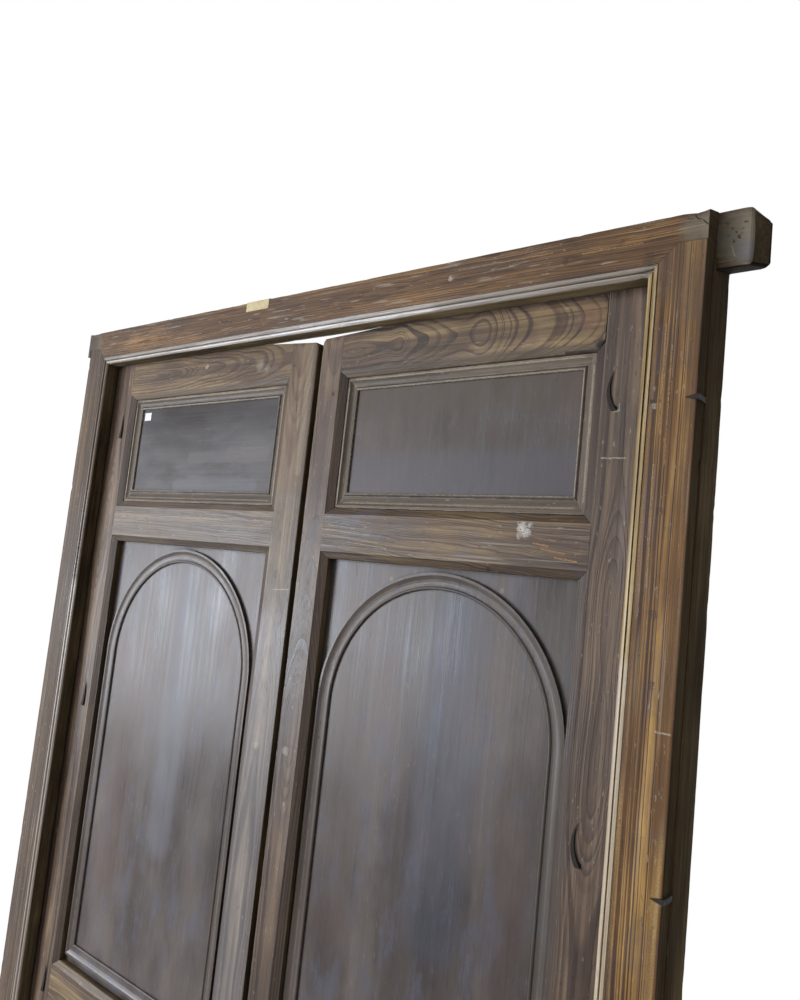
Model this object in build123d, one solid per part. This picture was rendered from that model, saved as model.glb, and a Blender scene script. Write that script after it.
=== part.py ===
"""Old double-leaf panelled door in its rebated frame, with an arch carved on each tall panel.

Millimetres. X runs to the right, Y from the front to the back and Z up. The origin is on the
underside of the threshold, at the middle of its width and depth.
"""
from build123d import *
import os

# Frame
frame_width = 1500.0
front_height = 2240.0
frame_depth = 90.0
face_width = 81.0
lip_depth = 34.0
rebate = 22.0
top_rise = 10.0
side_step = 2.0
side_step_depth = 26.0
shoulder_drop = 40.0

# Moulding stuck on the inner edge of the frame: two beads, each with a quirk before it
bead_start = 64.0
bead_split = 72.0
quirk_width = 1.6
quirk_depth = 2.2
first_bead_drop = 3.4
second_bead_drop = 8.4

# Ends of the lintel: a horn at the right, a sawn stub at the left
horn_length = 47.0
horn_slant = 9.0
horn_drop = 72.0
horn_back_drop = 57.0
horn_chamfer = 5.0
stub_length = 13.0
stub_drop = 57.0
stub_chamfer = 9.0

# Threshold
threshold_height = 50.0
threshold_step = 16.0

# Joints of the frame
frame_tenon_width = 30.0
frame_tenon_thickness = 22.0
frame_tenon_length = 48.0
foot_tenon_length = 18.0
tenon_end_gap = 1.0
frame_peg_radius = 5.0
frame_peg_length = 44.0

# Leaves
leaf_thickness = 42.0
side_gap = 3.0
seat_gap = 0.4
head_gap = 5.0
foot_gap = 3.0
meeting_x = 18.0
meeting_gap = 11.0
hinge_stile_face = 87.5
meeting_stile_face = {"left": 70.5, "right": 53.5}
top_rail_face = 89.0
frieze_rail_face = 67.0
lock_rail_face = 106.0
bottom_rail_face = 190.0
upper_opening_height = 264.0
lower_opening_height = 470.0
stile_bevel = 16.0
rail_bevel = 13.0
bevel_depth = 7.0

# Top edge of each leaf, planed down towards the meeting corner
dip_depth = {"left": 27.0, "right": 23.0}
dip_length = {"left": 350.0, "right": 440.0}
corner_round = 7.0

# Joints of the leaves
tenon_length = 28.0
tenon_thickness = 14.0
tenon_inset = 13.0
top_tenon_inset = 34.0
peg_radius = 4.5
peg_length = 30.0
peg_distance = 14.0

# Panels
panel_thickness = 12.0
groove_depth = 9.5
groove_end_gap = 0.5
rectangular_field_depth = 16.0
arch_field_depth = 20.0

# Mouldings planted round the rectangular panels
strip_width = 22.0
bottom_strip_width = 28.0
strip_height = 7.5
strip_lip = 4.5
strip_bead = 6.0
strip_bead_height = 4.5
strip_cove_floor = 2.4

# Arch carved on the tall panel
arch_crown_gap = 7.0
arch_margin = {"left": 11.0, "right": 3.0}
arch_shift = {"left": -4.0, "right": 0.0}
arch_width = 28.0
arch_height = 6.0
arch_foot_gap = 14.0

# Hinges: an iron eye in the leaf turns on the upright bar of an iron eye in the jamb
hinge_count = 4
first_hinge_drop = 252.0
last_hinge_rise = 122.0
axis_offset = 1.5
axis_behind = 16.0
iron_radius = 3.0
eye_clearance = 0.3
eye_play = 3.0
eye_reach = 15.5
eye_corner = 3.6
leaf_leg_setback = 66.0
leg_length = 60.0
leg_root_width = 8.0
leg_tip_width = 2.4
leg_thickness = 3.0
leg_bulge = {"left": 2.5, "right": 10.0}
strap_setback = 20.0
strap_width = 7.0
strap_tip_width = 3.0
strap_thickness = 3.2
strap_reach = 16.0
blind_iron_depth = 20.0

# Tape over the top front arris, and a blank paper label on the left upper panel
tape_x = -139.0
tape_width = 66.0
tape_drop = 19.0
tape_thickness = 0.4
label_width = 24.0
label_height = 18.0
label_thickness = 0.3
label_side_gap = 7.0
label_top_gap = 8.0

# Places that follow from the sizes above
half_width = frame_width / 2
front = -frame_depth / 2
back = frame_depth / 2
lip_back = front + lip_depth
lip_edge = half_width - face_width
rebate_edge = lip_edge + rebate
soffit = front_height - face_width + rebate
lip_soffit = front_height - face_width
back_top = front_height + top_rise
threshold_back_height = threshold_height - threshold_step

leaf_front = lip_back + seat_gap
leaf_back = leaf_front + leaf_thickness
leaf_top = soffit - head_gap
leaf_bottom = threshold_back_height + foot_gap
leaf_edge = rebate_edge - side_gap

axis_x = leaf_edge + axis_offset
axis_y = back + axis_behind
ring_radius = iron_radius + eye_clearance + iron_radius
first_hinge = front_height - first_hinge_drop
hinge_spacing = (first_hinge - last_hinge_rise) / (hinge_count - 1)
hinge_heights = [first_hinge - n * hinge_spacing for n in range(hinge_count)]

SIDES = {"left": -1, "right": 1}


def block(x0, x1, y0, y1, z0, z1):
    """A rectangular block between two opposite corners."""
    x0, x1 = sorted((x0, x1))
    low = (Align.MIN, Align.MIN, Align.MIN)
    return Pos(x0, y0, z0) * Box(x1 - x0, y1 - y0, z1 - z0, align=low)


def prism(points, direction):
    """A flat outline pushed along a direction."""
    outline = Wire.make_polygon([Vector(*point) for point in points], close=True)
    return Solid.extrude(Face(outline), Vector(*direction))


def slab(points, y0, y1):
    """An outline drawn in the front view, pushed from one depth to another."""
    return prism([(x, y0, z) for x, z in points], (0, y1 - y0, 0))


def rod(start, end, radius):
    """A round rod between two points."""
    start, end = Vector(*start), Vector(*end)
    plane = Plane(origin=start, z_dir=end - start)
    return Solid.make_cylinder(radius, (end - start).length, plane)


def cut(solid, *tools):
    """One solid with other shapes taken away."""
    for tool in tools:
        solid = solid - tool
    return solid


def bead_cutter(place, run):
    """Waste beside the two beads of the frame, along one member.

    place turns a distance from the frame's outer edge and a depth into a point.
    """
    split, edge = bead_split, face_width
    first = ((bead_start + quirk_width, 0), (bead_split - 1, first_bead_drop * 0.3), (split, first_bead_drop))
    second = ((split + quirk_width, first_bead_drop * 0.6), (edge - 2, second_bead_drop * 0.5),
              (edge, second_bead_drop))
    corners = [place(edge + 1, -1), place(bead_start, -1), place(bead_start, quirk_depth),
               place(bead_start + quirk_width, quirk_depth), place(*first[0])]
    step = [place(split, first_bead_drop), place(split, first_bead_drop + quirk_depth),
            place(split + quirk_width, first_bead_drop + quirk_depth), place(*second[0])]
    close = [place(edge, second_bead_drop), place(edge + 1, second_bead_drop), place(edge + 1, -1)]
    edges = [Edge.make_line(Vector(*a), Vector(*b))
             for chain in (corners, step, close) for a, b in zip(chain, chain[1:])]
    for arc in (first, second):
        a, b, c = [Vector(*place(*point)) for point in arc]
        edges.append(Edge.make_three_point_arc(a, b, c))
    return Solid.extrude(Face(Wire(edges)), Vector(*run))


def make_horn():
    """Right end of the lintel, standing out past the jamb and set back from its face."""
    end = half_width + horn_length
    low = front_height - horn_drop
    horn = prism([(half_width, lip_back, low), (end, lip_back, low), (end + horn_slant, back, low),
                  (half_width, back, low)], (0, 0, back_top - low))
    underside = prism([(half_width, lip_back, low), (half_width, back, low),
                       (half_width, back, front_height - horn_back_drop)], (horn_length + horn_slant, 0, 0))
    horn = horn - underside
    return chamfer(horn.edges().group_by(Axis.X)[-1], horn_chamfer)


def make_lintel():
    """Head of the frame, with a horn at the right and a sawn stub at the left."""
    shoulder = front_height - shoulder_drop
    mitre_x = half_width - shoulder_drop
    face = slab([(-half_width - stub_length, back_top), (half_width, back_top), (half_width, shoulder),
                 (mitre_x, shoulder), (lip_edge, lip_soffit), (-lip_edge, lip_soffit),
                 (-mitre_x, shoulder), (-half_width, shoulder),
                 (-half_width, front_height - stub_drop), (-half_width - stub_length, front_height - stub_drop)],
                front, lip_back)
    beam = block(-half_width - stub_length, half_width + side_step, lip_back, back, soffit, back_top)
    joined = face + beam + make_horn()
    bevel = prism([(-frame_width, front, front_height), (-frame_width, lip_back, back_top),
                   (-frame_width, lip_back, back_top + 1), (-frame_width, front - 1, back_top + 1),
                   (-frame_width, front - 1, front_height)], (2 * frame_width, 0, 0))
    beads = bead_cutter(lambda inset, depth: (-frame_width, front + depth, front_height - inset),
                        (2 * frame_width, 0, 0))
    stub_corner = slab([(-half_width - stub_length, back_top), (-half_width - stub_length + stub_chamfer, back_top),
                        (-half_width - stub_length, back_top - top_rise - stub_chamfer)], front, back)
    mortises = [frame_tenon(side, soffit, frame_tenon_length + tenon_end_gap) for side in SIDES.values()]
    return cut(joined, bevel, beads, stub_corner, *mortises, *frame_peg_rods())


def frame_tenon(side, foot, length):
    """Tenon between a jamb and the member above or below it."""
    middle_x = side * (rebate_edge + half_width) / 2
    middle_y = (lip_back + back) / 2
    half_w, half_t = frame_tenon_width / 2, frame_tenon_thickness / 2
    return block(middle_x - half_w, middle_x + half_w, middle_y - half_t, middle_y + half_t, foot, foot + length)


def frame_peg_rods():
    """Pegs driven from the back through the four tenons of the frame."""
    middle = (rebate_edge + half_width) / 2
    heights = [soffit + frame_tenon_length / 2, threshold_back_height - foot_tenon_length / 2]
    return [rod((side * middle, back, z), (side * middle, back - frame_peg_length, z), frame_peg_radius)
            for side in SIDES.values() for z in heights]


def make_jamb(side):
    """Upright of the frame: mitred to the lintel in front, tenoned into it behind."""
    shoulder = front_height - shoulder_drop
    face = slab([(side * half_width, threshold_back_height), (side * half_width, shoulder),
                 (side * (half_width - shoulder_drop), shoulder), (side * lip_edge, lip_soffit),
                 (side * lip_edge, threshold_back_height)], front, lip_back)
    post = block(side * rebate_edge, side * (half_width + side_step), lip_back, back, threshold_back_height, soffit)
    step = block(side * half_width, side * (half_width + side_step), front + side_step_depth, back,
                 threshold_back_height, soffit)
    head = frame_tenon(side, soffit, frame_tenon_length)
    foot = frame_tenon(side, threshold_back_height - foot_tenon_length, foot_tenon_length)
    beads = bead_cutter(lambda inset, depth: (side * (half_width - inset), front + depth, 0),
                        (0, 0, front_height))
    shanks = [jamb_shank(side, height) for height in hinge_heights]
    return cut(face + post + step + head + foot, beads, make_horn(), *shanks, *frame_peg_rods())


def make_threshold():
    """Sill with a stop in front of the leaves."""
    base = block(-half_width - side_step, half_width + side_step, front, back, 0, threshold_back_height)
    stop = block(-lip_edge, lip_edge, front, lip_back, threshold_back_height, threshold_height)
    depth = foot_tenon_length + tenon_end_gap
    mortises = [frame_tenon(side, threshold_back_height - depth, depth) for side in SIDES.values()]
    return cut(base + stop, *mortises, *frame_peg_rods())


def leaf_sizes(name):
    """Edges of one leaf: outer edges, opening faces and opening walls, with the rails' heights."""
    side = SIDES[name]
    hinge = side * leaf_edge
    meeting = meeting_x + side * meeting_gap / 2
    face_hinge = hinge - side * hinge_stile_face
    face_meeting = meeting + side * meeting_stile_face[name]
    top = leaf_top - top_rail_face
    frieze_low = top - upper_opening_height - frieze_rail_face
    lower_top = leaf_bottom + bottom_rail_face + lower_opening_height
    return {
        "side": side, "hinge": hinge, "meeting": meeting,
        "hinge_face": face_hinge, "meeting_face": face_meeting,
        "hinge_wall": face_hinge - side * stile_bevel, "meeting_wall": face_meeting + side * stile_bevel,
        "upper": (top - upper_opening_height, top),
        "arch": (lower_top + lock_rail_face, frieze_low),
        "lower": (leaf_bottom + bottom_rail_face, lower_top),
    }


def bevel_cutter(size, opening):
    """Bevel round one opening of a leaf, mitred in its corners."""
    low, high = size[opening]
    outer = [(size["hinge_face"], low), (size["meeting_face"], low), (size["meeting_face"], high),
             (size["hinge_face"], high)]
    inner = [(size["hinge_wall"], low + rail_bevel), (size["meeting_wall"], low + rail_bevel),
             (size["meeting_wall"], high - rail_bevel), (size["hinge_wall"], high - rail_bevel)]
    wires = [Wire.make_polygon([Vector(x, y, z) for x, z in points], close=True)
             for points, y in ((outer, leaf_front), (inner, leaf_front + bevel_depth))]
    return Solid.make_loft(wires, ruled=True)


def top_cutter(name, size):
    """Waste above the top edge, planed down towards the meeting corner."""
    side, meeting = size["side"], size["meeting"]
    low = leaf_top - dip_depth[name]
    start = meeting + side * dip_length[name]
    over = leaf_top + 1
    past = meeting - side
    slope = dip_depth[name] / dip_length[name]
    return slab([(start, leaf_top), (meeting + side * corner_round, low + corner_round * slope),
                 (meeting, low - corner_round), (past, low - corner_round), (past, over), (start, over)],
                leaf_front - 1, leaf_back + 1)


def rail_spans(size):
    """Height range of each rail's face, its bevels below and above, and how far its tenons are cut back there."""
    return {
        "top_rail": (size["upper"][1], leaf_top, rail_bevel, 0, 0, top_tenon_inset),
        "frieze_rail": (size["arch"][1], size["upper"][0], rail_bevel, rail_bevel, 0, 0),
        "lock_rail": (size["lower"][1], size["arch"][0], rail_bevel, rail_bevel, 0, 0),
        "bottom_rail": (leaf_bottom, size["lower"][0], 0, rail_bevel, tenon_inset, 0),
    }


def rail_body(size, span):
    """A rail between the stiles' faces. Where an edge is bevelled, its ends are mitred to the stiles' bevels."""
    low, high, below, above = span[:4]
    hinge, meeting = size["hinge_face"], size["meeting_face"]
    hinge_wall, meeting_wall = size["hinge_wall"], size["meeting_wall"]
    points = [(hinge, high), (hinge, low)]
    if below:
        points += [(hinge_wall, low - below), (meeting_wall, low - below)]
    points += [(meeting, low), (meeting, high)]
    if above:
        points += [(meeting_wall, high + above), (hinge_wall, high + above)]
    return slab(points, leaf_front, leaf_back)


def rail_tenons(size, span, extra=0.0):
    """The two tenons of a rail, or with extra length the mortises that take them."""
    low, high, _, _, inset_low, inset_high = span
    middle = (leaf_front + leaf_back) / 2
    tenons = []
    for face, outward in ((size["hinge_face"], size["side"]), (size["meeting_face"], -size["side"])):
        tenons.append(block(face, face + outward * (tenon_length + extra), middle - tenon_thickness / 2,
                            middle + tenon_thickness / 2, low + inset_low, high - inset_high))
    return tenons


def leaf_peg_rods(size):
    """Pegs driven from the back through each tenon of the leaf."""
    rods = []
    for low, high, _, _, inset_low, inset_high in rail_spans(size).values():
        z = (low + inset_low + high - inset_high) / 2
        for face, outward in ((size["hinge_face"], size["side"]), (size["meeting_face"], -size["side"])):
            x = face + outward * peg_distance
            rods.append(rod((x, leaf_back, z), (x, leaf_back - peg_length, z), peg_radius))
    return rods


def panel_blank(size, opening, field_depth, gap=0.0):
    """Board of a panel with its edges in the grooves, or with a gap the grooves themselves."""
    low, high = size[opening]
    reach = groove_depth + gap
    y0 = leaf_front + field_depth
    return block(size["hinge_wall"] + size["side"] * reach, size["meeting_wall"] - size["side"] * reach,
                 y0, y0 + panel_thickness, low + rail_bevel - reach, high - rail_bevel + reach)


def leaf_grooves(size):
    """Grooves for the three panels of a leaf."""
    depths = {"upper": rectangular_field_depth, "arch": arch_field_depth, "lower": rectangular_field_depth}
    return [panel_blank(size, opening, depth, groove_end_gap) for opening, depth in depths.items()]


def profile_face(place, width, height):
    """Section of a panel moulding: an outer lip, a cove and a bead next to the field."""
    bead_x = width - strip_bead
    floor = min(strip_cove_floor, height / 2)
    bead_top = min(strip_bead_height, height)
    lip = Vector(*place(strip_lip, height))
    cove_mid = Vector(*place((strip_lip + bead_x) / 2 - 1, (floor + height) / 2 - 1.2))
    cove_end = Vector(*place(bead_x, floor))
    bead_mid = Vector(*place(width - strip_bead / 2, bead_top))
    bead_end = Vector(*place(width, floor / 2))
    corner = Vector(*place(width, 0))
    origin = Vector(*place(0, 0))
    outer = Vector(*place(0, height))
    edges = [Edge.make_line(origin, outer), Edge.make_line(outer, lip),
             Edge.make_three_point_arc(lip, cove_mid, cove_end),
             Edge.make_three_point_arc(cove_end, bead_mid, bead_end),
             Edge.make_line(bead_end, corner), Edge.make_line(corner, origin)]
    return Face(Wire(edges))


def mitred_strip(start, end, inner_end, inner_start, surface, width, height):
    """Straight moulding whose ends follow the mitres of its front-view outline."""
    along = Vector(end[0] - start[0], 0, end[1] - start[1])
    unit = along.normalized()
    inward = Vector(-unit.Z, 0, unit.X)
    toward = Vector(inner_start[0] - start[0], 0, inner_start[1] - start[1])
    if inward.dot(toward) < 0:
        inward = inward * -1

    def place(across, rise):
        return (start[0] + inward.X * across, surface - rise, start[1] + inward.Z * across)

    bar = Solid.extrude(profile_face(place, width, height), along)
    return bar & slab([start, end, inner_end, inner_start], surface - height - 1, surface + 1)


def panel_strips(size, opening):
    """Four mitred strips round the field of a rectangular panel."""
    surface = leaf_front + rectangular_field_depth
    low, high = size[opening][0] + rail_bevel, size[opening][1] - rail_bevel
    hinge, meeting, side = size["hinge_wall"], size["meeting_wall"], size["side"]
    outer = {"lh": (hinge, low), "lm": (meeting, low), "hh": (hinge, high), "hm": (meeting, high)}
    in_hinge, in_meeting = hinge - side * strip_width, meeting + side * strip_width
    in_low, in_high = low + bottom_strip_width, high - strip_width
    inner = {"lh": (in_hinge, in_low), "lm": (in_meeting, in_low),
             "hh": (in_hinge, in_high), "hm": (in_meeting, in_high)}
    runs = {"top": ("hh", "hm", strip_width), "bottom": ("lh", "lm", bottom_strip_width),
            "hinge_side": ("lh", "hh", strip_width), "meeting_side": ("lm", "hm", strip_width)}
    return {run: mitred_strip(outer[a], outer[b], inner[b], inner[a], surface, width, strip_height)
            for run, (a, b, width) in runs.items()}


def make_arch_panel(name, size):
    """Tall board carved with a round arch on two legs, closed along the foot."""
    surface = leaf_front + arch_field_depth
    low, high = size["arch"][0] + rail_bevel, size["arch"][1] - rail_bevel
    half = abs(size["hinge_wall"] - size["meeting_wall"]) / 2
    radius = half - arch_margin[name]
    centre_x = (size["hinge_wall"] + size["meeting_wall"]) / 2 + arch_shift[name]
    centre_z = high - arch_crown_gap - radius
    foot = low + arch_foot_gap

    def section(across, rise):
        return (centre_x + radius - across, surface - rise, centre_z)

    crown = Solid.revolve(profile_face(section, arch_width, arch_height), 180,
                          Axis((centre_x, surface, centre_z), (0, -1, 0)))
    solid = panel_blank(size, "arch", arch_field_depth) + crown
    left, right = centre_x - radius, centre_x + radius
    in_left, in_right, in_foot = left + arch_width, right - arch_width, foot + arch_width
    runs = [((left, foot), (left, centre_z), (in_left, centre_z), (in_left, in_foot)),
            ((right, foot), (right, centre_z), (in_right, centre_z), (in_right, in_foot)),
            ((left, foot), (right, foot), (in_right, in_foot), (in_left, in_foot))]
    for run in runs:
        solid = solid + mitred_strip(*run, surface, arch_width, arch_height)
    return solid


def eye_point(side, reach, height, target):
    """Point at a distance from the hinge axis, on the way to a target seen from above."""
    centre = Vector(side * axis_x, axis_y, height)
    aim = Vector(target[0], target[1], height) - centre
    return centre + aim.normalized() * reach


def jamb_target(side):
    """Place where the jamb iron leaves the right jamb's outer side, or stops inside the left jamb."""
    reach = half_width if side > 0 else half_width - blind_iron_depth
    return (side * reach, front + strap_setback)


def leaf_target(side):
    """Place where the leaf iron leaves the front of the leaf."""
    return (side * (leaf_edge - leaf_leg_setback), leaf_front)


def jamb_shank(side, height):
    """Straight part of a jamb iron, through the jamb."""
    x, y = jamb_target(side)
    start = eye_point(side, eye_reach, height, (x, y))
    return rod((start.X, start.Y, height), (x, y, height), iron_radius)


def leaf_shank(side, height):
    """Straight part of a leaf iron, through the hinge stile."""
    x, y = leaf_target(side)
    start = eye_point(side, ring_radius, height, (x, y))
    return rod((start.X, start.Y, height), (x, y, height), iron_radius)


def make_jamb_eye(side, height):
    """Iron bent to an eye with an upright bar on the hinge axis; clenched on the right jamb, blind in the left."""
    target = jamb_target(side)
    low = height - 2 * iron_radius - eye_clearance
    high = height + 2 * iron_radius + eye_play
    neck = eye_point(side, eye_reach, height, target)
    arm = eye_point(side, eye_reach - 4, height, target)
    centre = Vector(side * axis_x, axis_y, height)
    corners = [neck, Vector(arm.X, arm.Y, high), Vector(centre.X, centre.Y, high),
               Vector(centre.X, centre.Y, low), Vector(arm.X, arm.Y, low)]
    path = FilletPolyline(*corners, radius=eye_corner, close=True)
    loop = sweep(Plane(origin=path @ 0, z_dir=path % 0) * Circle(iron_radius), path=path)
    seat = Pos(neck.X, neck.Y, neck.Z) * Sphere(iron_radius)
    if side < 0:
        return loop + seat + jamb_shank(side, height)
    x, y = half_width, front
    strap = prism([(side * x, y + strap_setback + iron_radius, height - strap_width / 2),
                   (side * (x + strap_thickness), y + strap_setback + iron_radius, height - strap_width / 2),
                   (side * (x + strap_thickness), y - strap_thickness, height - strap_width / 2),
                   (side * (x - strap_reach), y - strap_thickness / 2, height - strap_width / 2),
                   (side * (x - strap_reach), y, height - strap_width / 2),
                   (side * x, y, height - strap_width / 2)], (0, 0, strap_width))
    taper = slab([(side * (x + strap_thickness + 1), height - strap_width / 2),
                  (side * (x + strap_thickness + 1), height + strap_width / 2),
                  (side * x, height + strap_width / 2),
                  (side * (x - strap_reach), height + strap_tip_width / 2),
                  (side * (x - strap_reach), height - strap_tip_width / 2),
                  (side * x, height - strap_width / 2)], front - strap_thickness, back)
    return loop + seat + jamb_shank(side, height) + (strap & taper)


def make_leaf_eye(name, height):
    """Iron ring round the jamb iron's bar, driven through the stile with its end bent up the face."""
    side = SIDES[name]
    ring = Pos(side * axis_x, axis_y, height) * Torus(ring_radius, iron_radius)
    x, y = leaf_target(side)
    bulge = side * leg_bulge[name]
    root, tip = leg_root_width / 2, leg_tip_width / 2
    low, middle, top = height - root, height + leg_length * 0.35, height + leg_length
    inner = Edge.make_three_point_arc(Vector(x - root, y, low), Vector(x - bulge - root * 0.8, y, middle),
                                      Vector(x - tip, y, top))
    outer = Edge.make_three_point_arc(Vector(x + tip, y, top), Vector(x - bulge + root * 0.8, y, middle),
                                      Vector(x + root, y, low))
    ends = [Edge.make_line(inner @ 1, outer @ 0), Edge.make_line(outer @ 1, inner @ 0)]
    leg = Solid.extrude(Face(Wire([inner, outer, *ends])), Vector(0, -leg_thickness, 0))
    return ring + leaf_shank(side, height) + leg


def make_leaf(name):
    """All pieces of one leaf, by node name."""
    size = leaf_sizes(name)
    side = size["side"]
    spans = rail_spans(size)
    bevels = [bevel_cutter(size, opening) for opening in ("upper", "arch", "lower")]
    grooves = leaf_grooves(size)
    pegs = leaf_peg_rods(size)
    waste = [*bevels, *grooves, *pegs, top_cutter(name, size)]
    bodies = {rail: rail_body(size, span) for rail, span in spans.items()}
    mortises = [tool for span in spans.values() for tool in rail_tenons(size, span, tenon_end_gap)]
    shanks = [leaf_shank(side, height) for height in hinge_heights]
    stiles = {"hinge_stile": ("hinge", "hinge_wall"), "meeting_stile": ("meeting", "meeting_wall")}
    pieces = {}
    for stile, (edge, wall) in stiles.items():
        body = block(size[edge], size[wall], leaf_front, leaf_back, leaf_bottom, leaf_top)
        pieces[stile] = cut(body, *bodies.values(), *mortises, *shanks, *waste)
    for rail, span in spans.items():
        body = bodies[rail]
        for tenon in rail_tenons(size, span):
            body = body + tenon
        pieces[rail] = cut(body, *waste)
    for opening in ("upper", "lower"):
        pieces[f"{opening}_panel"] = panel_blank(size, opening, rectangular_field_depth)
        for run, strip in panel_strips(size, opening).items():
            pieces[f"{opening}_moulding_{run}"] = strip
    pieces["arch_panel"] = make_arch_panel(name, size)
    pieces["leaf_pegs"] = Compound(children=pegs)
    for number, height in enumerate(hinge_heights, 1):
        pieces[f"leaf_eye_{number}"] = make_leaf_eye(name, height)
    return {f"{name}_{piece}": solid for piece, solid in pieces.items()}


def make_tape():
    """Strip of tape stuck to the lintel's face and folded over its sloping top."""
    slope = top_rise / lip_depth
    fold = lip_depth / 2
    x0 = tape_x - tape_width / 2
    t = tape_thickness
    return prism([(x0, front - t, front_height - tape_drop), (x0, front, front_height - tape_drop),
                  (x0, front, front_height), (x0, front + fold, front_height + slope * fold),
                  (x0, front + fold, front_height + slope * fold + t), (x0, front - t, front_height + t)],
                 (tape_width, 0, 0))


def make_label():
    """Blank paper label on the left upper panel."""
    size = leaf_sizes("left")
    x0 = size["hinge_wall"] + strip_width + label_side_gap
    z1 = size["upper"][1] - rail_bevel - strip_width - label_top_gap
    y1 = leaf_front + rectangular_field_depth
    return block(x0, x0 + label_width, y1 - label_thickness, y1, z1 - label_height, z1)


def make_door():
    """Every piece of the door, by node name."""
    pieces = {"lintel": make_lintel(), "threshold": make_threshold(),
              "frame_pegs": Compound(children=frame_peg_rods()),
              "masking_tape": make_tape(), "paper_label": make_label()}
    for name, side in SIDES.items():
        pieces[f"{name}_jamb"] = make_jamb(side)
        for number, height in enumerate(hinge_heights, 1):
            pieces[f"{name}_jamb_eye_{number}"] = make_jamb_eye(side, height)
        pieces.update(make_leaf(name))
    return pieces


os.makedirs("parts", exist_ok=True)
for node, shape in make_door().items():
    export_step(shape, f"parts/{node}.step")
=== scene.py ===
import bmesh
import bpy
import math
from mathutils import Matrix, Vector, noise


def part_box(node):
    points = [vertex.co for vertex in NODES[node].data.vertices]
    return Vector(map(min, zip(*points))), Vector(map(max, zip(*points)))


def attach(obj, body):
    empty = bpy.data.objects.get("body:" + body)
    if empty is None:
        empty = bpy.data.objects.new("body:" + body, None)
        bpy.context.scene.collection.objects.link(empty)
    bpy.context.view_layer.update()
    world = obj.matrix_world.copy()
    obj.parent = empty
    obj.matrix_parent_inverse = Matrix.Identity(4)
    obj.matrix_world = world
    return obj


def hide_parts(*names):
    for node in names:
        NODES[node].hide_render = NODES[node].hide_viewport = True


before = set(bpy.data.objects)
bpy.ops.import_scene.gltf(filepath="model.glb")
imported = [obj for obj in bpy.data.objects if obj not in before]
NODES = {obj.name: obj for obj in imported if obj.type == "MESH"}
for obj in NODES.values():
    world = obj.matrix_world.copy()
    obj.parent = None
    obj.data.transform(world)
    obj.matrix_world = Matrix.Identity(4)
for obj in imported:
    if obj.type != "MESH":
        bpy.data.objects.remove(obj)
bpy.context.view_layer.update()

# Places in metres, in the CAD's frame: x to the right, y to the back, z up.
# The beads run along the inner edges of the frame, in front of BEAD_BACK.
FRAME_FRONT = -0.045
LEAF_FRONT = -0.011
PANEL_PITH_Y = 0.005
ARCH_PITH_Y = 0.009
BEAD_BACK = -0.0355
LINTEL_BEAD_TOP = 2.1765
JAMB_BEAD_EDGE = 0.6865
LINTEL_SHOULDER = 2.2
PAST_JAMB = 0.7495
JAMB_PITH_X = 0.60
CROWN_BELOW_MOULDING = 0.100

# Cutting and rounding of the boards, in metres and radians.
# An arris drifts less than STRAIGHT, and its faces are ROOM_BESIDE_ARRIS times as wide as its rounding.
WELD = 0.00002
FLAT = math.radians(0.6)
SHARP = math.radians(40)
DRESSED_SHARP = math.radians(32)
SHORTEST_ARRIS = 0.03
ARRIS_WIDTH = 0.0022
STRAIGHT = 0.001
NEAR_JOINT = 0.0015
ROOM_BESIDE_ARRIS = 2.4
SLICE_PITCH = 0.009
CROSS_PITCH = 0.016
CUT_DIST = 1e-6
PAST_CUT = 1e-5

# Wear of the boards: depths in metres, and scales of the noise that moves the skin
BOW = 0.0004
ARRIS_WEAR = 0.0013
BOW_SCALE, BROAD_SCALE, FINE_SCALE, DENT_SCALE = 9.0, 22.0, 75.0, 130.0
RIM, RIM_EDGE = 1.0, 0.35

# Which way a face looks, by its normal, and what it gets. The last three are places in a list of materials.
SMOOTH = math.radians(14)
SMOOTH_ON_RIM = math.radians(48)
STEEP = 0.85
OUTER_SKIN = 0.006
TO_THE_BACK = 0.6
DOWNWARD = -0.25
SLANT_LOW, SLANT_HIGH, SLANT_TO_FRONT = 0.2, 0.8, -0.55
FINISHED, ROUGH, BEAD = 0, 1, 2

# Noises of the varnished and the bare pine: scale along and across the board, detail and roughness
FIBRES = (5.0, 420.0, 3.0, 0.6)
STREAKS = (2.2, 60.0, 3.0, 0.6)
BLOTS = (9.0, 24.0, 5.0, 0.7)
CLOUDS = (3.0, 7.0, 4.0, 0.6)
CHIPS = (55.0, 170.0, 3.0, 0.65)
STAINS = (5.0, 14.0, 4.0, 0.65)
BENDS = (1.6, 9.0, 2.0)
RIPPLES = (7.0, 26.0, 2.0)
BARE_FIBRES = (6.0, 300.0, 4.0, 0.65)
BARE_CLOUDS = (4.0, 16.0, 4.0, 0.6)
SCRATCH_ACROSS = 230.0
SEED_STEP, BARE_SEED_STEP = 3.7, 5.1

# Marks: how ragged their edges are, and the size below which they break up into flecks
RAGGED = 0.011
SMALL_MARK = 0.012
BAND_EDGE = 0.001

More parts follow.
